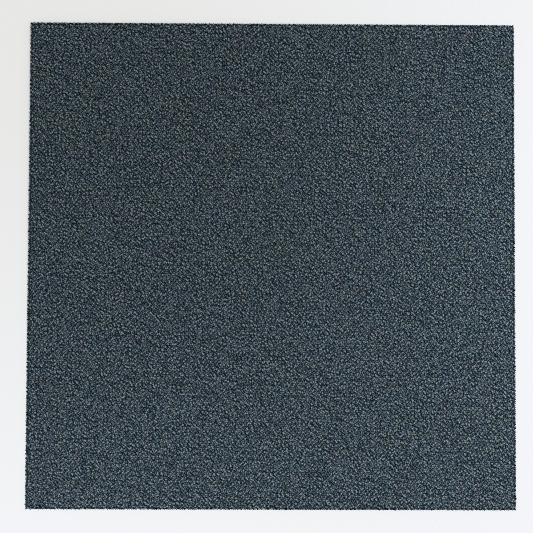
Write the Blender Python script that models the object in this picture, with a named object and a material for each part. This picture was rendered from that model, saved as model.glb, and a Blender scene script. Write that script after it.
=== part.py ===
"""Loop-pile carpet tile, lying flat with its pile up.

Two solids in metres, +Z up, with the origin at the centre of the underside:

backing      the heavy slab that the yarn is bonded to, cut square with a knife
loop_pile    the tufted layer on top of it, whose outermost loops roll over at the cut

The loops themselves are fine relief, so the pile here is the plain block that they fill.
"""

import bmesh
import bpy

# Driving dimensions, in metres
TILE_WIDTH = 0.500
TILE_LENGTH = 0.500
BACKING_THICKNESS = 0.0032
PILE_HEIGHT = 0.0030
PILE_SEAT_GAP = 0.0003
PILE_EDGE_ROUND = 0.0008
BACKING_EDGE_BREAK = 0.0003

# How many facets the small rounds are cut into
PILE_ROUND_SEGMENTS = 4
EDGE_BREAK_SEGMENTS = 2

# Finishes: colour as red, green, blue and alpha, then roughness
BACKING_BLACK = (0.030, 0.032, 0.035, 1.0)
BACKING_ROUGHNESS = 0.80
YARN_SLATE = (0.045, 0.062, 0.073, 1.0)
YARN_ROUGHNESS = 0.95


def clear_scene():
    """Removes every object that the file opened with."""
    for old in list(bpy.data.objects):
        bpy.data.objects.remove(old, do_unlink=True)


def new_collection(name):
    """A collection linked to the scene, for the pieces of the tile."""
    collection = bpy.data.collections.new(name)
    bpy.context.scene.collection.children.link(collection)
    return collection


def plain_material(name, colour, roughness):
    """A Principled material of one colour."""
    material = bpy.data.materials.new(name)
    material.use_nodes = True
    shader = material.node_tree.nodes["Principled BSDF"]
    shader.inputs["Base Color"].default_value = colour
    shader.inputs["Roughness"].default_value = roughness
    shader.inputs["Metallic"].default_value = 0.0
    material.diffuse_color = colour
    return material


def tile_layer(underside, thickness):
    """A bmesh slab of the tile's plan, whose underside is at the height given."""
    layer = bmesh.new()
    bmesh.ops.create_cube(layer, size=1.0)
    bmesh.ops.scale(layer, vec=(TILE_WIDTH, TILE_LENGTH, thickness), verts=layer.verts)
    bmesh.ops.translate(layer, vec=(0.0, 0.0, underside + thickness / 2), verts=layer.verts)
    return layer


def rim(layer, middle, side):
    """The four edges round the top (side 1) or the underside (side -1) of a slab."""
    return [
        edge
        for edge in layer.edges
        if all((corner.co.z - middle) * side > 0.0 for corner in edge.verts)
    ]


def round_off(layer, edges, radius, segments):
    """Rolls these edges over to a radius."""
    bmesh.ops.bevel(
        layer,
        geom=edges,
        offset=radius,
        offset_type="OFFSET",
        segments=segments,
        profile=0.5,
        affect="EDGES",
        clamp_overlap=True,
        material=-1,
    )


def finish_piece(name, layer, material, collection):
    """Turns a bmesh into a named object that wears its material."""
    bmesh.ops.recalc_face_normals(layer, faces=layer.faces)
    mesh = bpy.data.meshes.new(name)
    layer.to_mesh(mesh)
    layer.free()
    mesh.materials.append(material)
    piece = bpy.data.objects.new(name, mesh)
    collection.objects.link(piece)
    return piece


def make_backing(collection):
    """The backing slab, with the faint round that the knife leaves under its lower rim."""
    layer = tile_layer(0.0, BACKING_THICKNESS)
    lower_rim = rim(layer, BACKING_THICKNESS / 2, -1)
    round_off(layer, lower_rim, BACKING_EDGE_BREAK, EDGE_BREAK_SEGMENTS)
    material = plain_material("backing", BACKING_BLACK, BACKING_ROUGHNESS)
    return finish_piece("backing", layer, material, collection)


def make_loop_pile(collection):
    """The pile, seated on the backing, with its upper rim rolled over."""
    seat = BACKING_THICKNESS + PILE_SEAT_GAP
    layer = tile_layer(seat, PILE_HEIGHT)
    upper_rim = rim(layer, seat + PILE_HEIGHT / 2, 1)
    round_off(layer, upper_rim, PILE_EDGE_ROUND, PILE_ROUND_SEGMENTS)
    material = plain_material("loop_pile", YARN_SLATE, YARN_ROUGHNESS)
    return finish_piece("loop_pile", layer, material, collection)


def main():
    clear_scene()
    tile = new_collection("carpet_tile")
    make_backing(tile)
    make_loop_pile(tile)


main()
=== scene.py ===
# %% [markdown]
# # A loop-pile carpet tile, loop by loop
#
# The tile is a square of contract carpet, 500 mm on a side, that lies flat on a pale floor.
# Up close it has two parts: a heavy flat slab, the backing, and on top of it a pile of small
# loops of yarn in straight rows. The loops are what anyone sees, and each is about 2 mm
# across, so a whole tile holds some 57,000 of them.
#
# The work goes in this order: load the solid model that everything has to fit, set up the
# camera and the light, lay out the stitches, shape one loop, plant a copy of it on every
# stitch, and then give the yarn, the backing and the floor their finishes.

import math

import bmesh
import bpy
import numpy as np
from mathutils import Euler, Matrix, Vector


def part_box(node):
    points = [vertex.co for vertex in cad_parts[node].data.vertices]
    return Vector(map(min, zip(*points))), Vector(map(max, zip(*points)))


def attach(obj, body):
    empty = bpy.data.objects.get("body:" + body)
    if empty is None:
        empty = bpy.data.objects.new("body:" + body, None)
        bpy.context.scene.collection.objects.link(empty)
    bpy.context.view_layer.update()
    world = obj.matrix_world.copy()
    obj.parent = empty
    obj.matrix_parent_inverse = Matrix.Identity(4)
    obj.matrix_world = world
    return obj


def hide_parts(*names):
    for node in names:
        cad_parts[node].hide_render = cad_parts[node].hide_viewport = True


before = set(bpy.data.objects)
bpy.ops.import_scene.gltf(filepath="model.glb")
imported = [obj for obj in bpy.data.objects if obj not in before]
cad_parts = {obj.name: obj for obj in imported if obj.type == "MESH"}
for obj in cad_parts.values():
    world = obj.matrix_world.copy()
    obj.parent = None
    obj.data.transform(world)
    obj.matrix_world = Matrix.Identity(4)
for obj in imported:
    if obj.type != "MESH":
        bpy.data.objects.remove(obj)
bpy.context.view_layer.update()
scene = bpy.context.scene
MM = 0.001

# %% [markdown]
# ## Where the pile stands
#
# The solid model holds the pile as one plain block on top of the backing. Its box says where
# the loops may stand: their feet start on the backing, their crowns reach the block's top,
# and the outermost ones stand at its sides. Everything below is worked out from that box.

# %% Read the pile's box from the frame
pile_low, pile_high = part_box("loop_pile")
PILE_WIDTH = pile_high.x - pile_low.x
PILE_LENGTH = pile_high.y - pile_low.y
PILE_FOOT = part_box("backing")[1].z
PILE_TOP = pile_high.z

print("the pile stands from", round(PILE_FOOT / MM, 2), "to", round(PILE_TOP / MM, 2), "mm")

# %% [markdown]
# ## Camera
#
# The photograph was taken from almost straight above with a fairly long lens: the lower edge
# of the tile comes out 1.6% longer than the upper one, and that sets the small tilt. The
# place and the turn below were worked out from where the four corners fall in the picture,
# which is 533 pixels square. The cell prints those corners, so that they can be compared.

# %% Place the camera
PICTURE_SIDE_PX = 533
CAMERA_LENS_MM = 85.0
SENSOR_WIDTH_MM = 36.0
CAMERA_PLACE = Vector((-0.01756, -0.05792, 1.2977))
CAMERA_TURN_DEG = (2.486, -0.544, 0.220)

camera_data = bpy.data.cameras.new("overhead_camera")
camera_data.lens = CAMERA_LENS_MM
camera_data.sensor_width = SENSOR_WIDTH_MM
camera = bpy.data.objects.new("overhead_camera", camera_data)
camera.location = CAMERA_PLACE
camera.rotation_euler = Euler([math.radians(turn) for turn in CAMERA_TURN_DEG])
scene.collection.objects.link(camera)
scene.camera = camera
bpy.context.view_layer.update()


def pixel_of(place):
    """Where a place in the scene falls in the square picture, in pixels from its top left."""
    sideways, upwards, depth = camera.matrix_world.inverted() @ place
    reach = CAMERA_LENS_MM / SENSOR_WIDTH_MM * PICTURE_SIDE_PX
    half = PICTURE_SIDE_PX / 2
    return round(half + reach * sideways / -depth, 1), round(half - reach * upwards / -depth, 1)


for name, x, y in (
    ("top left", pile_low.x, pile_high.y),
    ("top right", pile_high.x, pile_high.y),
    ("bottom right", pile_high.x, pile_low.y),
    ("bottom left", pile_low.x, pile_low.y),
):
    print(name, "corner at pixel", pixel_of(Vector((x, y, PILE_TOP))))

# %% [markdown]
# ## Floor and light
#
# The floor is plain and nearly white. Most of the light comes evenly from one big panel
# overhead, because the photograph shows hardly any shadow round the tile. It gets lighter
# and bluer towards the right and the lower edge, so two smaller panels hang on those sides.
# Their light is kept to a cone, as with a grid over a softbox.

# %% Lay the floor and hang the lights
FLOOR_SIDE = 60.0
FLOOR_DROP = 0.1 * MM
DAYLIGHT_STRENGTH = 0.35


def mesh_piece(name, shape):
    """Turns a bmesh into an object at the origin, with its place in its mesh."""
    mesh = bpy.data.meshes.new(name)
    shape.to_mesh(mesh)
    shape.free()
    piece = bpy.data.objects.new(name, mesh)
    scene.collection.objects.link(piece)
    return piece


floor_shape = bmesh.new()
bmesh.ops.create_grid(floor_shape, x_segments=1, y_segments=1, size=FLOOR_SIDE / 2)
bmesh.ops.translate(floor_shape, vec=(0, 0, -FLOOR_DROP), verts=floor_shape.verts)
floor = mesh_piece("studio_floor", floor_shape)


def hang_panel(name, place, side, power, colour, cone_deg):
    """A square panel of light that faces straight down and shines in a cone."""
    light = bpy.data.lights.new(name, "AREA")
    light.shape = "SQUARE"
    light.size = side
    light.energy = power
    light.color = colour
    light.spread = math.radians(cone_deg)
    panel = bpy.data.objects.new(name, light)
    panel.location = place
    scene.collection.objects.link(panel)
    return panel


hang_panel(
    "overhead_panel",
    place=(0.0, 0.0, 2.4), side=1.8, power=42.0, colour=(1.0, 1.0, 1.0), cone_deg=180.0,
)
hang_panel(
    "right_panel",
    place=(0.80, 0.0, 1.33), side=0.7, power=4.2, colour=(0.84, 1.0, 1.20), cone_deg=53.0,
)
hang_panel(
    "front_panel",
    place=(-0.24, -0.80, 1.63), side=0.7, power=3.5, colour=(0.89, 1.02, 1.24), cone_deg=46.0,
)

studio = bpy.data.worlds.new("studio")
studio.use_nodes = True
daylight = studio.node_tree.nodes["Background"]
daylight.inputs["Color"].default_value = (1, 1, 1, 1)
daylight.inputs["Strength"].default_value = DAYLIGHT_STRENGTH
scene.world = studio

# %% [markdown]
# ## The camera's response
#
# A camera doesn't answer to light in a straight line: it rolls off near white, so the floor
# changes less over the picture than the tile does. Blue rolls off a little later than red and
# green, so the lightest floor is a trace blue. Curves on the scene's view settings do the
# same, and middle tones pass through them unchanged.
#
# In the photograph even the darkest fleck is blue, as if a haze of stray blue light lay over
# it. The black level, a little above nought for red and below it for blue, lays such a haze
# over the picture.
#
# The fleck is as fine as the picture's pixels. So the pixels are filtered no wider than they
# are, and nothing is denoised: a denoiser would take the fleck for noise and melt it.

# %% Set the view and its soft shoulder
PIXEL_BLUR = 0.95
CURVE_WHITE = 1.6
BLACK_LEVEL = (0.0032, 0.0, -0.0025)
SHOULDER = ((0.35, 0.35), (0.65, 0.64), (0.83, 0.805), (1.00, 0.865), (1.25, 0.905), (1.60, 0.940))
BLUE_SHOULDER = ((0.35, 0.35), (0.65, 0.64), (0.83, 0.803), (1.00, 0.870), (1.25, 0.920), (1.60, 0.958))

view = scene.view_settings
view.view_transform = "Standard"
view.look = "None"
view.use_curve_mapping = True
view.curve_mapping.white_level = (CURVE_WHITE,) * 3
view.curve_mapping.black_level = BLACK_LEVEL
for channel, shoulder in enumerate((SHOULDER, SHOULDER, BLUE_SHOULDER)):
    response = view.curve_mapping.curves[channel]
    response.points[-1].location = (1.0, shoulder[-1][1])
    for scene_light, picture_light in shoulder[:-1]:
        response.points.new(scene_light / CURVE_WHITE, picture_light)
view.curve_mapping.update()
scene.cycles.filter_width = PIXEL_BLUR
scene.cycles.use_denoising = False

print("points on each response curve:", [len(curve.points) for curve in view.curve_mapping.curves[:3]])

# %% [markdown]
# ## A class for wiring nodes
#
# Node trees get long when every Math node is added by hand. This small class wraps an output
# socket, so that arithmetic in Python adds the Math nodes. Any other node comes from its one
# method `node`, which sets the node up first and then fills its sockets. The same class
# serves the materials and the tree that plants the loops.


# %% Wrap a socket
class Wire:
    """An output socket that can be reckoned with, or the start of a tree if it has none."""

    def __init__(self, tree, socket=None):
        self.tree = tree
        self.socket = socket

    def node(self, kind, settings, sockets, out=0):
        """Adds a node, sets it up, fills its sockets and returns one of its outputs."""
        made = self.tree.nodes.new(kind)
        for name, value in settings.items():
            if name == "stops":
                self.set_stops(made.color_ramp.elements, value)
            else:
                setattr(made, name, value)
        for name, value in sockets.items():
            if isinstance(value, Wire):
                self.tree.links.new(value.socket, made.inputs[name])
            else:
                made.inputs[name].default_value = value
        return Wire(self.tree, made.outputs[out]) if made.outputs else None

    @staticmethod
    def set_stops(elements, stops):
        """Puts a ramp's colours at their places."""
        while len(elements) < len(stops):
            elements.new(1.0)
        for element, (place, colour) in zip(elements, stops):
            element.position = place
            element.color = colour

    def reckon(self, operation, first, second):
        """One Math node."""
        return self.node("ShaderNodeMath", {"operation": operation}, {0: first, 1: second})

    def __add__(self, other):
        return self.reckon("ADD", self, other)

    def __radd__(self, other):
        return self.reckon("ADD", other, self)

    def __sub__(self, other):
        return self.reckon("SUBTRACT", self, other)

    def __rsub__(self, other):
        return self.reckon("SUBTRACT", other, self)

    def __mul__(self, other):
        return self.reckon("MULTIPLY", self, other)

    def __rmul__(self, other):
        return self.reckon("MULTIPLY", other, self)

    def blend(self, first, second):
        """Mixes two colours, with this wire as the factor."""
        settings = {"data_type": "RGBA"}
        return self.node("ShaderNodeMix", settings, {0: self, 6: first, 7: second}, out=2)


print("wires can be added, subtracted, multiplied and used to blend colours")

# %% [markdown]
# ## Stitches
#
# A tufting machine has one needle for each row of loops. The rows of this tile run up the
# picture. In the photograph a new row comes every 2.0 pixels and a new loop along the row
# every 2.05, which makes 242 rows of 237 loops. The stitches are the vertices of a grid.
#
# The machine's bar steps sideways after each stitch, so a row is a zigzag, and every other
# row is stitched a little later than its neighbours. That hides the straight lines between
# the rows, and leaves only a faint regular grain under the random fleck.
#
# The yarn is spun from plies of several colours, so every loop shows another one on top. As
# the plies are twisted, a light one is mostly followed by a dark one. That is why each
# loop's tone is a random number less a share of its neighbours' numbers. Down to the right
# the neighbours are more alike, which gives the fleck its slight slant. The machine's two
# strokes, and its odd and even needles, don't draw the yarn quite alike either.

# %% Lay out the stitches and choose each loop's tone
NEEDLE_ROWS = 242
STITCHES_IN_ROW = 237
SEED = 12
ZIGZAG_STEP = 0.53 * MM
ODD_ROW_DELAY = 0.83 * MM
UNLIKE_ALONG_ROW = 0.69
UNLIKE_ACROSS_ROWS = 0.32
LIKE_DOWN_RIGHT = 0.37
UNLIKE_UP_RIGHT = 0.25
ODD_ROW_LIGHTER = 0.05
ODD_STITCH_LIGHTER = 0.18
CHECKER_LIGHTER = 0.11

row_gap = PILE_WIDTH / NEEDLE_ROWS
stitch_gap = PILE_LENGTH / STITCHES_IN_ROW
rng = np.random.default_rng(SEED)


def beside(field, up, right):
    """The mean of the two numbers that lie so many stitches up and rows right, and opposite."""
    return (np.roll(field, (up, right), (0, 1)) + np.roll(field, (-up, -right), (0, 1))) / 2


chance = rng.standard_normal((STITCHES_IN_ROW, NEEDLE_ROWS))
tone = (
    chance
    - UNLIKE_ALONG_ROW * beside(chance, 1, 0)
    - UNLIKE_ACROSS_ROWS * beside(chance, 0, 1)
    - UNLIKE_UP_RIGHT * beside(chance, 1, 1)
    + LIKE_DOWN_RIGHT * beside(chance, -1, 1)
)
odd_row = np.arange(NEEDLE_ROWS) % 2
odd_stitch = np.arange(STITCHES_IN_ROW)[:, None] % 2
tone = tone + ODD_ROW_LIGHTER * odd_row + ODD_STITCH_LIGHTER * odd_stitch
tone = tone + CHECKER_LIGHTER * (odd_row ^ odd_stitch)

print("rows", round(row_gap / MM, 3), "mm apart, loops", round(stitch_gap / MM, 3), "mm apart")

# %% [markdown]
# ## Which ply lies on top
#
# The tones are cut into six even groups, from ink to chalk. Each group becomes one piece of
# the model. That keeps every piece's colour true and its mesh a handy size.

# %% Name the plies and share out the loops
PLIES = ("ink", "navy", "slate", "steel", "ash", "chalk")

tone_cuts = np.quantile(tone, np.arange(1, len(PLIES)) / len(PLIES))
ply_on_top = np.digitize(tone, tone_cuts)
tone_rank = np.argsort(np.argsort(tone, axis=None)).reshape(tone.shape) / tone.size
tone_in_ply = tone_rank * len(PLIES) % 1

for number, ply in enumerate(PLIES):
    print("loops that show", ply, int((ply_on_top == number).sum()))

# %% [markdown]
# ## One loop in the field
#
# Inside the field only the crown of a loop shows. It is a short fat arch of yarn, so the
# shape is a block whose top is split along its length and drawn in to a rounded ridge. With
# 57,000 copies each triangle counts: this one has sixteen, and smooth shading rounds it.
#
# The loop carries two maps. `yarn` runs across and along the yarn, and the material draws
# the twist of the plies on it. `chart` spreads the faces over a square as three rings, like
# a pyramid seen from above, with the hidden underside small in a corner. Later it gives every
# loop a place of its own on a third map, `OFBake`.

# %% Shape the crown of a loop
GROUND_DEPTH = 0.9 * MM
FOOT_IN_GROUND = 0.1 * MM
CROWN_WIDTH = 1.79 * MM
CROWN_LENGTH = 2.78 * MM
CROWN_HEIGHT = PILE_TOP - PILE_FOOT - GROUND_DEPTH + FOOT_IN_GROUND
SHOULDER_HEIGHT = 0.75
SHOULDER_SHARE = 0.90
RIDGE_SHARE = 0.55
FOOT_SHARE = 0.72
YARN_MAP_SPAN = 10 * MM
FOOT_RING, SHOULDER_RING, RIDGE_RING = 0.90, 0.56, 0.28
HIDDEN_PLACE, HIDDEN_SIZE = 0.015, 0.010
NEAR_MIDDLE = 0.1


def fill_map(shape, name, place_of):
    """Fills a UV map of a bmesh from a function of the face and its corner's vertex."""
    layer = shape.loops.layers.uv.new(name)
    for face in shape.faces:
        for corner in face.loops:
            corner[layer].uv = place_of(face, corner.vert)


def crown_shape():
    """The crown of a loop, standing on z = 0, with its yarn running along Y."""
    shape = bmesh.new()
    bmesh.ops.create_cube(shape, size=1.0)
    bmesh.ops.translate(shape, vec=(0, 0, 0.5), verts=shape.verts)
    top = [edge for edge in shape.edges if all(end.co.z > 0.5 for end in edge.verts)]
    across = [edge for edge in top if edge.verts[0].co.x * edge.verts[1].co.x < 0]
    bmesh.ops.subdivide_edges(shape, edges=across, cuts=1)
    ridge = [point for point in shape.verts if abs(point.co.x) < NEAR_MIDDLE]
    foot = [point for point in shape.verts if point.co.z < 0.5]
    shoulder = [point for point in shape.verts if point not in ridge + foot]
    ring_of = {**dict.fromkeys(foot, FOOT_RING), **dict.fromkeys(shoulder, SHOULDER_RING)}

    def on_chart(face, point):
        if all(other.vert in foot for other in face.loops):
            return HIDDEN_PLACE + HIDDEN_SIZE * point.co.x, HIDDEN_PLACE + HIDDEN_SIZE * point.co.y
        ring = ring_of.get(point, RIDGE_RING)
        return 0.5 + ring * point.co.x, 0.5 + ring * point.co.y

    fill_map(shape, "chart", on_chart)
    bmesh.ops.scale(shape, vec=(1.0, RIDGE_SHARE, 1.0), verts=ridge)
    bmesh.ops.scale(shape, vec=(1.0, SHOULDER_SHARE, SHOULDER_HEIGHT), verts=shoulder)
    bmesh.ops.scale(shape, vec=(FOOT_SHARE, FOOT_SHARE, 1.0), verts=foot)
    bmesh.ops.scale(shape, vec=(CROWN_WIDTH, CROWN_LENGTH, CROWN_HEIGHT), verts=shape.verts)
    fill_map(
        shape,
        "yarn",
        lambda face, point: (0.5 + point.co.x / YARN_MAP_SPAN, 0.5 + point.co.y / YARN_MAP_SPAN),
    )
    return shape


def count_triangles(mesh):
    """How many triangles a mesh comes to."""
    return sum(len(face.vertices) - 2 for face in mesh.polygons)


crown = mesh_piece("crown_pattern", crown_shape())
print("a crown has", count_triangles(crown.data), "triangles")

# %% [markdown]
# ## One loop at the edge
#
# Along the four sides the loops can be seen whole, down to their feet. There each one is a
# real arch: a flat ring of yarn is pulled up into a leg, spun over half a turn for the bend
# and pulled down again. It has more faces, but fewer than a thousand loops stand there.

# %% Shape a whole loop
YARN_SIDES = 6
YARN_HALF_WIDTH = 0.95 * MM
YARN_HALF_DEPTH = 0.48 * MM
BEND_RADIUS = 0.52 * MM
BEND_STEPS = 4
LOOP_HEIGHT = PILE_TOP - PILE_FOOT
LEG_HEIGHT = LOOP_HEIGHT - BEND_RADIUS - YARN_HALF_DEPTH


def way_along(place):
    """How far a place on the loop is from the top of the bend, measured along the yarn."""
    if place.z > LEG_HEIGHT:
        return BEND_RADIUS * math.atan2(place.y, place.z - LEG_HEIGHT)
    return math.copysign(BEND_RADIUS * math.pi / 2 + LEG_HEIGHT - place.z, place.y)


def pull(shape, face, rise):
    """Extrudes one face straight up or down and returns the face at its new end."""
    pulled = bmesh.ops.extrude_face_region(shape, geom=[face])["geom"]
    points = [item for item in pulled if isinstance(item, bmesh.types.BMVert)]
    bmesh.ops.translate(shape, vec=(0, 0, rise), verts=points)
    return next(item for item in pulled if isinstance(item, bmesh.types.BMFace))


def whole_loop_shape():
    """A whole loop standing on z = 0, with its yarn running along Y over the bend."""
    shape = bmesh.new()
    bmesh.ops.create_circle(shape, cap_ends=True, segments=YARN_SIDES, radius=1.0)
    bmesh.ops.scale(shape, vec=(YARN_HALF_WIDTH, YARN_HALF_DEPTH, 1.0), verts=shape.verts)
    bmesh.ops.translate(shape, vec=(0, -BEND_RADIUS, 0), verts=shape.verts)
    top = pull(shape, shape.faces[:][0], LEG_HEIGHT)
    bent = bmesh.ops.spin(
        shape,
        geom=[top, *top.edges, *top.verts],
        cent=(0, 0, LEG_HEIGHT),
        axis=(-1, 0, 0),
        angle=math.pi,
        steps=BEND_STEPS,
    )["geom_last"]
    end = next(item for item in bent if isinstance(item, bmesh.types.BMFace))
    pull(shape, end, -LEG_HEIGHT)
    bmesh.ops.delete(shape, geom=[end], context="FACES_ONLY")
    bmesh.ops.recalc_face_normals(shape, faces=shape.faces)
    half_way = BEND_RADIUS * math.pi / 2 + LEG_HEIGHT

    def on_yarn(face, point):
        return 0.5 + point.co.x / YARN_MAP_SPAN, 0.5 + way_along(point.co) / YARN_MAP_SPAN

    def on_chart(face, point):
        across, along = point.co.x / YARN_HALF_WIDTH, way_along(point.co) / half_way
        return 0.5 + FOOT_RING / 2 * across, 0.5 + FOOT_RING / 2 * along

    fill_map(shape, "chart", on_chart)
    fill_map(shape, "yarn", on_yarn)
    print("open edges on a whole loop:", sum(not edge.is_manifold for edge in shape.edges))
    return shape


whole_loop = mesh_piece("whole_loop_pattern", whole_loop_shape())
print("a whole loop has", count_triangles(whole_loop.data), "triangles")

# %% [markdown]
# ## What each stitch knows
#
# No two loops of a real pile stand alike. Each stitch holds a turn, a size and a small step
# off the grid for its loop, drawn at random but from a fixed seed, so that the tile comes
# out the same each time. All the loops lean to the right as they go up the picture. Along
# the sides they bulge out a little over the cut, and stand straighter and more in line than
# in the field, because the knife leaves only the loops that it missed.

# %% Store the turns, sizes and steps on the grid
STEP_OFF_GRID = 0.13 * MM
FARTHEST_STEP = 2 * STEP_OFF_GRID
LEAN_DEG = 42.0
LEAN_SPREAD_DEG = 12.0
NOD_SPREAD_DEG = 7.8
ROLL_SPREAD_DEG = 10.0
HEIGHT_SPREAD = 0.02
WIDTH_SPREAD = 0.036
NARROWEST, SHORTEST = 0.85, 0.75
SIDE_BULGE = 0.62 * MM
END_BULGE = 0.25 * MM
EDGE_LOOSENESS = 0.3

grid_shape = bmesh.new()
bmesh.ops.create_grid(grid_shape, x_segments=NEEDLE_ROWS - 1, y_segments=STITCHES_IN_ROW - 1, size=0.5)
bmesh.ops.scale(
    grid_shape,
    vec=(row_gap * (NEEDLE_ROWS - 1), stitch_gap * (STITCHES_IN_ROW - 1), 1.0),
    verts=grid_shape.verts,
)
grid = mesh_piece("stitch_grid", grid_shape)

places = np.empty(len(grid.data.vertices) * 3)
grid.data.vertices.foreach_get("co", places)
places = places.reshape(-1, 3)
row_of = np.rint(places[:, 0] / row_gap + (NEEDLE_ROWS - 1) / 2).astype(int)
stitch_of = np.rint(places[:, 1] / stitch_gap + (STITCHES_IN_ROW - 1) / 2).astype(int)
ply_of = ply_on_top[stitch_of, row_of]
side_x = (row_of == NEEDLE_ROWS - 1).astype(float) - (row_of == 0)
side_y = (stitch_of == STITCHES_IN_ROW - 1).astype(float) - (stitch_of == 0)
at_edge = (side_x != 0) | (side_y != 0)

how_many = len(places)
loose = np.where(at_edge, EDGE_LOOSENESS, 1.0)
steps_off = rng.normal(0, STEP_OFF_GRID, (how_many, 2)).clip(-FARTHEST_STEP, FARTHEST_STEP)
places[:, :2] += steps_off * loose[:, None]
places[:, 0] += ZIGZAG_STEP * np.where(stitch_of % 2, 1, -1) * loose
places[:, 1] += ODD_ROW_DELAY * (row_of % 2 - 0.5) * loose
places[:, 0] += side_x * SIDE_BULGE
places[:, 1] += side_y * END_BULGE
places[:, 2] = np.where(at_edge, PILE_FOOT, PILE_FOOT + GROUND_DEPTH - FOOT_IN_GROUND)
grid.data.vertices.foreach_set("co", places.ravel())

turns = rng.normal(0, 1, (how_many, 3)) * np.radians((NOD_SPREAD_DEG, ROLL_SPREAD_DEG, 0))
turns[:, 2] = -np.radians(LEAN_DEG + rng.normal(0, LEAN_SPREAD_DEG, how_many))
turns *= loose[:, None]
sizes = (1 + rng.normal(0, WIDTH_SPREAD, (how_many, 3))).clip(NARROWEST, 2 - NARROWEST)
sizes[:, 2] = (1 - np.abs(rng.normal(0, HEIGHT_SPREAD, how_many))).clip(SHORTEST, 1)

print("stitches", how_many, "of them at the edge", int(at_edge.sum()))

# %% [markdown]
# Every loop also gets a cell of its own on the bake map of its piece: a square sheet is
# ruled into as many cells as the piece has loops, and a loop's chart is laid in its cell.
#
# Three more numbers go to the yarn's finish. `partner` is the tone of the ply that winds
# round the top one: it lies about half the range away, as in a two-coloured twist. `warmth`
# and `cast` shift the hue. They run on slowly from loop to loop, as dyed fibre does, and the
# rare strong ones are cut off, because no loop of the tile stands out by its hue.

# %% Number the cells and put everything on the grid
PARTNER_SPREAD = 0.05
HUE_RUN = 0.35
HUE_SPREAD = 0.22
HUE_LIMIT = 1.6

order_in_ply = np.zeros(how_many, int)
for number in range(len(PLIES)):
    order_in_ply[ply_of == number] = np.arange((ply_of == number).sum())
cells_on_side = math.ceil(math.sqrt(max((ply_of == number).sum() for number in range(len(PLIES)))))
cells = np.stack([order_in_ply % cells_on_side, order_in_ply // cells_on_side, np.zeros(how_many)], 1)


def store(name, kind, values):
    """Puts a named attribute on the stitches."""
    attribute = grid.data.attributes.new(name, kind, "POINT")
    field = "vector" if kind == "FLOAT_VECTOR" else "value"
    attribute.data.foreach_set(field, np.asarray(values, np.float32).ravel())


def slow_number():
    """A random number from 0 to 1 for each stitch, which is much like its neighbours'."""
    field = rng.standard_normal(tone.shape)
    for up, right in ((1, 0), (0, 1)):
        field = field + HUE_RUN * beside(field, up, right)
    return 0.5 + HUE_SPREAD * (field / field.std()).clip(-HUE_LIMIT, HUE_LIMIT)


store("turn", "FLOAT_VECTOR", turns)
store("size", "FLOAT_VECTOR", sizes)
store("cell", "FLOAT_VECTOR", cells)
store("tone", "FLOAT", tone_in_ply[stitch_of, row_of])
partner_rank = tone_rank[stitch_of, row_of] + 0.5 + PARTNER_SPREAD * (rng.random(how_many) - 0.5)
store("partner", "FLOAT", partner_rank % 1)
store("warmth", "FLOAT", slow_number()[stitch_of, row_of])
store("cast", "FLOAT", slow_number()[stitch_of, row_of])
store("at_edge", "FLOAT", at_edge)
for number, ply in enumerate(PLIES):
    store(ply, "FLOAT", ply_of == number)

print("the bake maps have", cells_on_side, "by", cells_on_side, "cells")

# %% [markdown]
# ## Planting the loops
#
# Geometry Nodes puts a copy of the crown, or of the whole loop at the edge, on each stitch
# of one ply, and then makes the copies real, so that the result is a plain mesh. Done in
# Python, one loop at a time, this would take minutes.


# %% Plant one ply's loops
def plant(ply):
    """Makes the mesh of all the loops that show one ply."""
    tree = bpy.data.node_groups.new(f"plant_{ply}", "GeometryNodeTree")
    tree.interface.new_socket("Geometry", in_out="INPUT", socket_type="NodeSocketGeometry")
    tree.interface.new_socket("Geometry", in_out="OUTPUT", socket_type="NodeSocketGeometry")
    start = Wire(tree)
    stitches = start.node("NodeGroupInput", {}, {})

    def read(name, kind="FLOAT"):
        return start.node("GeometryNodeInputNamedAttribute", {"data_type": kind}, {"Name": name})

    turn = start.node("FunctionNodeEulerToRotation", {}, {0: read("turn", "FLOAT_VECTOR")})

    def copies(pattern, chosen):
        shape = start.node("GeometryNodeObjectInfo", {}, {"Object": pattern}, out="Geometry")
        return start.node(
            "GeometryNodeInstanceOnPoints",
            {},
            {
                "Points": stitches,
                "Selection": chosen,
                "Instance": shape,
                "Rotation": turn,
                "Scale": read("size", "FLOAT_VECTOR"),
            },
        )

    mine, edge = read(ply), read("at_edge")
    field_loops = copies(crown, mine * (1 - edge))
    edge_loops = copies(whole_loop, mine * edge)
    both = start.node("GeometryNodeJoinGeometry", {}, {})
    tree.links.new(field_loops.socket, both.socket.node.inputs[0])
    tree.links.new(edge_loops.socket, both.socket.node.inputs[0])
    real = start.node("GeometryNodeRealizeInstances", {}, {"Geometry": both})
    chart, cell = read("chart", "FLOAT_VECTOR"), read("cell", "FLOAT_VECTOR")
    moved = start.node("ShaderNodeVectorMath", {"operation": "ADD"}, {0: chart, 1: cell})
    cell_side = {0: moved, "Scale": 1 / cells_on_side}
    laid = start.node("ShaderNodeVectorMath", {"operation": "SCALE"}, cell_side)
    mapped = start.node(
        "GeometryNodeStoreNamedAttribute",
        {"data_type": "FLOAT2", "domain": "CORNER"},
        {"Geometry": real, "Name": "OFBake", "Value": laid},
    )
    smooth = start.node("GeometryNodeSetShadeSmooth", {}, {"Geometry": mapped})
    start.node("NodeGroupOutput", {}, {0: smooth})
    grid.modifiers.clear()
    grid.modifiers.new("plant", "NODES").node_group = tree
    depsgraph = bpy.context.evaluated_depsgraph_get()
    planted = bpy.data.meshes.new_from_object(
        grid.evaluated_get(depsgraph), preserve_all_data_layers=True, depsgraph=depsgraph
    )
    for name in ("turn", "size", "cell", "at_edge", "chart", *PLIES):
        if name in planted.attributes:
            planted.attributes.remove(planted.attributes[name])
    piece = bpy.data.objects.new(f"loops_{ply}", planted)
    scene.collection.objects.link(piece)
    return piece


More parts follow.
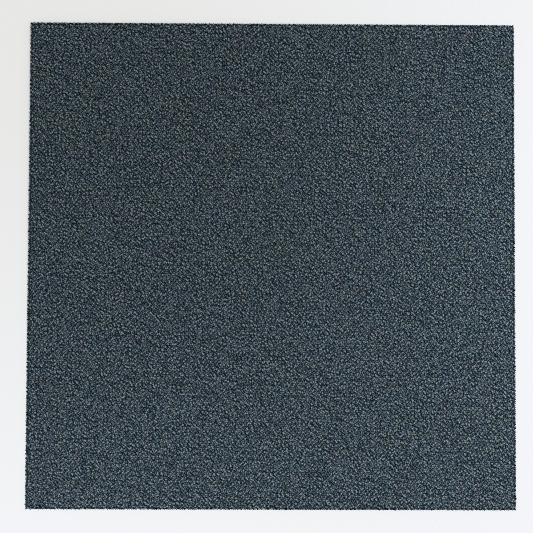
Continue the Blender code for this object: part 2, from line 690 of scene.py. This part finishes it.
loops = {ply: plant(ply) for ply in PLIES}
for pattern in (grid, crown, whole_loop):
    bpy.data.objects.remove(pattern)

for piece in loops.values():
    print(piece.name, count_triangles(piece.data), "triangles")

# %% [markdown]
# ## What lies between the loops
#
# The yarn is stitched through a thin dark cloth. It can only be guessed at down between the
# loops, but without it one could look through the pile from the side. It is a flat block
# with its upper edges taken off, set in a little from the sides.

# %% Lay the ground cloth
GROUND_INSET = 0.45 * MM
GROUND_BEVEL = 0.3 * MM


def ground_shape():
    """The slab of stitched cloth and yarn feet between the loops."""
    shape = bmesh.new()
    bmesh.ops.create_cube(shape, size=1.0)
    span = (PILE_WIDTH - 2 * GROUND_INSET, PILE_LENGTH - 2 * GROUND_INSET, GROUND_DEPTH)
    bmesh.ops.scale(shape, vec=span, verts=shape.verts)
    bmesh.ops.translate(shape, vec=(0, 0, PILE_FOOT + GROUND_DEPTH / 2), verts=shape.verts)
    middle = PILE_FOOT + GROUND_DEPTH / 2
    rim = [edge for edge in shape.edges if all(end.co.z > middle for end in edge.verts)]
    bmesh.ops.bevel(
        shape, geom=rim, offset=GROUND_BEVEL, segments=2, profile=0.5, affect="EDGES", material=-1
    )
    return shape


ground = mesh_piece("ground_cloth", ground_shape())
print("the ground cloth has", count_triangles(ground.data), "triangles")

# %% [markdown]
# ## Yarn
#
# Seen close, each loop is a twist of two plies with single fibres running along them. The
# ply on top has the colour of the loop's group. The one that winds round it is looked up on
# a ramp of the six colours by the loop's `partner` number. The stripes run on the `yarn`
# map, so they follow each loop however it is turned, and slide a little with its tone. All
# six colours are a slate blue, and the two lightest are somewhat greyer.
#
# Dyed fibres are never of quite one hue. `warmth` shifts a loop between warm and cool, and
# `cast` between green and violet, by less where the yarn is light, because the eye sees a
# shift of a dark colour less. Down between the loops the colour is painted darker, to less
# than a third. This is painted shade, since little light gets there.

# %% Mix the yarn colours
PLY_COLOURS = {
    "ink": (0.0044, 0.0058, 0.0069),
    "navy": (0.0190, 0.0267, 0.0318),
    "slate": (0.0398, 0.0543, 0.0643),
    "steel": (0.0706, 0.0920, 0.1062),
    "ash": (0.1253, 0.1530, 0.1670),
    "chalk": (0.2205, 0.2522, 0.2585),
}
PLY_PITCH = 2.15 * MM
PLY_SOFTNESS = 0.2
PLY_SLANT_DEG = 86.0
TOP_PLY_SHARE = 0.22
PHASE_SPREAD = 0.42
GAP_SHADE = (0.24, 0.27, 0.29)
LIT_DEPTH = 0.45 * MM
FIBRE_CONTRAST = 0.6
FIBRE_SIZE = 0.12 * MM
FIBRE_STRETCH = (1.0, 0.3, 0.6)
FIBRE_RELIEF = 0.06 * MM
FIBRE_BUMP = 0.35
PLY_STEP = 0.5
WARM_COOL_DRIFT = 0.0225
GREEN_VIOLET_DRIFT = 0.0145
DRIFT_FALL = -0.56
YARN_ROUGHNESS = 0.92
YARN_SHINE = 0.03
YARN_FUZZ = 0.01
FUZZ_ROUGHNESS = 0.5


def opaque(colour):
    """A colour with its alpha, as sockets want it."""
    return (*colour, 1.0)


def yarn_material(ply):
    """Twisted yarn whose top ply has one colour and whose other ply has nearly its opposite."""
    material = bpy.data.materials.new(f"yarn_{ply}")
    material.use_nodes = True
    tree = material.node_tree
    shader = tree.nodes["Principled BSDF"]
    start = Wire(tree)

    def number(name):
        return start.node("ShaderNodeAttribute", {"attribute_name": name}, {}, out="Fac")

    yarn = start.node("ShaderNodeUVMap", {"uv_map": "yarn"}, {})
    across = start.node("ShaderNodeSeparateXYZ", {}, {0: yarn}, out=0)
    along = start.node("ShaderNodeSeparateXYZ", {}, {0: yarn}, out=1)
    slant = math.radians(PLY_SLANT_DEG)
    pitches = YARN_MAP_SPAN / PLY_PITCH
    wound = (across - 0.5) * (math.cos(slant) * pitches) + (along - 0.5) * (math.sin(slant) * pitches)
    phase = (wound + (number("tone") - 0.5) * PHASE_SPREAD) * (2 * math.pi)
    wave = 0 - start.node("ShaderNodeMath", {"operation": "COSINE"}, {0: phase})
    under = start.node(
        "ShaderNodeMapRange",
        {"interpolation_type": "SMOOTHSTEP"},
        {0: wave, 1: TOP_PLY_SHARE - PLY_SOFTNESS, 2: TOP_PLY_SHARE + PLY_SOFTNESS},
    )
    where = start.node("ShaderNodeTexCoord", {}, {}, out="Object")
    fibre_space = start.node("ShaderNodeMapping", {}, {0: where, "Scale": FIBRE_STRETCH})
    fibre = start.node(
        "ShaderNodeTexNoise", {}, {"Vector": fibre_space, "Scale": 1 / FIBRE_SIZE, "Detail": 1.0}
    )
    # Painted shade: the yarn's colour falls from full at the crowns to GAP_SHADE at the loops' feet.
    height = start.node("ShaderNodeSeparateXYZ", {}, {0: where}, out=2)
    lit = start.node(
        "ShaderNodeMapRange", {}, {0: height, 1: PILE_FOOT + GROUND_DEPTH, 2: PILE_TOP - LIT_DEPTH}
    )
    shade = lit.blend(opaque(GAP_SHADE), (1, 1, 1, 1))
    steps = [(place / (len(PLIES) - 1), opaque(PLY_COLOURS[name])) for place, name in enumerate(PLIES)]
    partner = start.node("ShaderNodeValToRGB", {"stops": steps}, {0: number("partner")})
    plies = under.blend(opaque(PLY_COLOURS[ply]), partner)
    reach = PLY_COLOURS[ply][1] ** DRIFT_FALL
    warm = WARM_COOL_DRIFT * reach
    violet = GREEN_VIOLET_DRIFT * reach
    warmth = number("warmth").blend((1 - warm, 1, 1 + warm, 1), (1 + warm, 1, 1 - warm, 1))
    cast = number("cast").blend(
        (1 - violet, 1 + violet / 2, 1 - violet, 1), (1 + violet, 1 - violet / 2, 1 + violet, 1)
    )
    hue = start.node("ShaderNodeVectorMath", {"operation": "MULTIPLY"}, {0: warmth, 1: cast})
    tinted = start.node("ShaderNodeVectorMath", {"operation": "MULTIPLY"}, {0: plies, 1: hue})
    shaded = start.node("ShaderNodeVectorMath", {"operation": "MULTIPLY"}, {0: tinted, 1: shade})
    lightness = (1 - FIBRE_CONTRAST / 2) + FIBRE_CONTRAST * fibre
    colour = start.node("ShaderNodeVectorMath", {"operation": "SCALE"}, {0: shaded, "Scale": lightness})
    relief = {"Height": fibre + under * PLY_STEP, "Strength": FIBRE_BUMP, "Distance": FIBRE_RELIEF}
    bump = start.node("ShaderNodeBump", {}, relief)
    tree.links.new(colour.socket, shader.inputs["Base Color"])
    tree.links.new(bump.socket, shader.inputs["Normal"])
    shader.inputs["Roughness"].default_value = YARN_ROUGHNESS
    shader.inputs["Specular IOR Level"].default_value = YARN_SHINE
    shader.inputs["Sheen Weight"].default_value = YARN_FUZZ
    shader.inputs["Sheen Roughness"].default_value = FUZZ_ROUGHNESS
    return material


for ply, piece in loops.items():
    piece.data.materials.clear()
    piece.data.materials.append(yarn_material(ply))
    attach(piece, "root")
    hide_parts("loop_pile")

print("yarn materials:", [piece.data.materials[0].name for piece in loops.values()])

# %% [markdown]
# ## Ground cloth and backing
#
# Both are seen little or not at all. The cloth is nearly black with a coarse weave. The
# backing is a dull charcoal compound with a fine stipple from the belt it was cast on. One
# function serves both, because each is a dark surface mottled with a fine grain.

# %% Finish the ground cloth and the backing
CLOTH_DARK, CLOTH_LIGHT = (0.008, 0.011, 0.015), (0.020, 0.027, 0.034)
COMPOUND_DARK, COMPOUND_LIGHT = (0.022, 0.023, 0.026), (0.050, 0.052, 0.056)
STIPPLE_SHARE = 0.7
CLOUDS_PER_METRE = 12.0
STIPPLE_BUMP = 0.5
DULL_ROUGHNESS = 0.85
DULL_SHINE = 0.3


def stippled_material(name, dark, light, grain, relief):
    """A dull dark surface mottled with a grain of one size and relief."""
    material = bpy.data.materials.new(name)
    material.use_nodes = True
    tree = material.node_tree
    shader = tree.nodes["Principled BSDF"]
    start = Wire(tree)
    where = start.node("ShaderNodeTexCoord", {}, {}, out="Object")
    stipple = start.node("ShaderNodeTexNoise", {}, {"Vector": where, "Scale": 1 / grain, "Detail": 3.0})
    cloud_space = {"Vector": where, "Scale": CLOUDS_PER_METRE, "Detail": 2.0}
    clouds = start.node("ShaderNodeTexNoise", {}, cloud_space)
    mottle = stipple * STIPPLE_SHARE + clouds * (1 - STIPPLE_SHARE)
    colour = mottle.blend(opaque(dark), opaque(light))
    dents = {"Height": stipple, "Strength": STIPPLE_BUMP, "Distance": relief}
    bump = start.node("ShaderNodeBump", {}, dents)
    tree.links.new(colour.socket, shader.inputs["Base Color"])
    tree.links.new(bump.socket, shader.inputs["Normal"])
    shader.inputs["Roughness"].default_value = DULL_ROUGHNESS
    shader.inputs["Specular IOR Level"].default_value = DULL_SHINE
    return material


ground.data.materials.append(
    stippled_material("ground_cloth", CLOTH_DARK, CLOTH_LIGHT, grain=0.7 * MM, relief=0.1 * MM)
)
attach(ground, "root")
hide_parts("loop_pile")

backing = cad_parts["backing"]
backing.material_slots[0].material = stippled_material(
    "backing_compound", COMPOUND_DARK, COMPOUND_LIGHT, grain=0.5 * MM, relief=0.05 * MM
)

print("finished", ground.name, "and", backing.name)

# %% [markdown]
# ## Floor finish
#
# The floor is plain and matt, like white board. It is a trace yellower than neutral, because
# the two smaller panels are a little blue. It has hardly any gloss, so no panel shows in it.

# %% Finish the floor
FLOOR_WHITE = (0.872, 0.872, 0.858)
FLOOR_ROUGHNESS = 0.9
FLOOR_SHINE = 0.1

floor_material = bpy.data.materials.new("pale_floor")
floor_material.use_nodes = True
floor_shader = floor_material.node_tree.nodes["Principled BSDF"]
floor_shader.inputs["Base Color"].default_value = opaque(FLOOR_WHITE)
floor_shader.inputs["Roughness"].default_value = FLOOR_ROUGHNESS
floor_shader.inputs["Specular IOR Level"].default_value = FLOOR_SHINE
floor.data.materials.append(floor_material)

print("finished", floor.name)
